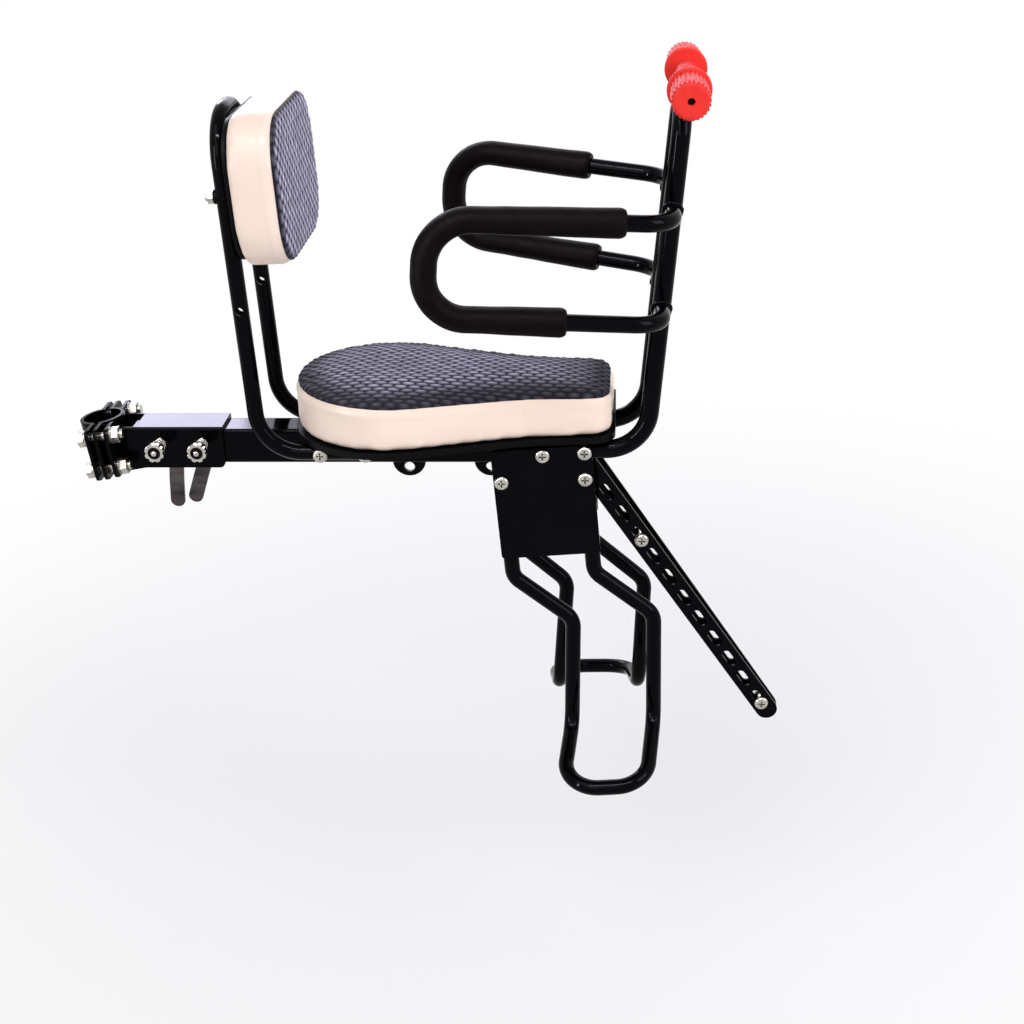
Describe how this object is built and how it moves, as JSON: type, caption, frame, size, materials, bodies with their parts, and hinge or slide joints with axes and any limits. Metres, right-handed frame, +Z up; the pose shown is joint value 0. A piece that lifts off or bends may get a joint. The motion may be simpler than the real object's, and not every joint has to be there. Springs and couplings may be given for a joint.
{
  "type": "front child bicycle seat",
  "caption": "Child seat on a beam that clamps to a bicycle seatpost, with padded seat, backrest, foam-covered guard hoops, red hand grips, foot stirrups and a slotted strut.",
  "frame": {"origin": "where the seatpost clamp's axis crosses the axis of the main beam", "axes": "+X forward along the beam, +Y to the rider's left, +Z up; the clamp's axis leans 8 degrees to the rear"},
  "size_m": [0.6349, 0.2784, 0.6333],
  "materials": {
    "black_paint": "gloss",
    "zinc_steel": "bright zinc",
    "bare_steel": "brushed",
    "black_plastic": "satin",
    "black_foam": "matte",
    "red_grip": "satin",
    "cream_vinyl": "satin vinyl",
    "woven_fabric": "coarse weave"
  },
  "bodies": {
    "seat": {"back_frame": "black_paint", "back_frame_bolts": "zinc_steel", "back_frame_nuts": "zinc_steel", "back_frame_plugs": "black_plastic", "backrest_band": "cream_vinyl", "backrest_board": "black_plastic", "backrest_bolts": "zinc_steel", "backrest_nuts": "zinc_steel", "backrest_panel": "woven_fabric", "backrest_spacers": "black_plastic", "beam_lugs": "black_paint", "beam_plug": "black_plastic", "clamp_bolts": "zinc_steel", "clamp_front_half": "black_paint", "clamp_nuts": "zinc_steel", "clamp_rear_half": "black_paint", "clamp_washers": "zinc_steel", "foot_bolts": "zinc_steel", "foot_hoop_left": "black_paint", "foot_hoop_right": "black_paint", "foot_nuts": "zinc_steel", "foot_plate_left": "black_paint", "foot_plate_right": "black_paint", "front_frame": "black_paint", "front_frame_plugs": "black_plastic", "front_saddle": "black_paint", "guard_foam_left": "black_foam", "guard_foam_right": "black_foam", "guard_hoop_left": "black_paint", "guard_hoop_right": "black_paint", "handle_bar": "black_paint", "handle_grip_left": "red_grip", "handle_grip_right": "red_grip", "main_beam": "black_paint", "pivot_bolt": "zinc_steel", "pivot_nut": "zinc_steel", "pivot_spacers": "black_paint", "qr_cam_seats": "zinc_steel", "qr_pins": "zinc_steel", "qr_rods": "zinc_steel", "qr_springs": "zinc_steel", "qr_star_nuts": "zinc_steel", "rear_saddle": "black_paint", "seat_band": "cream_vinyl", "seat_pan": "black_plastic", "seat_panel": "woven_fabric", "seat_screws": "zinc_steel", "sleeve_bracket": "black_paint"},
    "qr_lever_rear": {"qr_lever_rear": "bare_steel"},
    "qr_lever_front": {"qr_lever_front": "bare_steel"},
    "strut": {"strut_bar_left": "black_paint", "strut_bar_right": "black_paint", "strut_bolts": "zinc_steel", "strut_nuts": "zinc_steel"}
  },
  "joints": [
    {"name": "qr_lever_rear_hinge", "type": "hinge", "parent": "seat", "child": "qr_lever_rear", "pos_m": [0.054, 0.03, 0.0055], "axis": [0.9954, 0, -0.0958], "range_deg": [0, 150]},
    {"name": "qr_lever_front_hinge", "type": "hinge", "parent": "seat", "child": "qr_lever_front", "pos_m": [0.092, 0.03, 0.0055], "axis": [0.9397, 0, -0.342], "range_deg": [0, 150]},
    {"name": "strut_pivot", "type": "hinge", "parent": "seat", "child": "strut", "pos_m": [0.4335, 0, -0.018], "axis": [0, -1, 0], "range_deg": [-30, 45]}
  ]
}
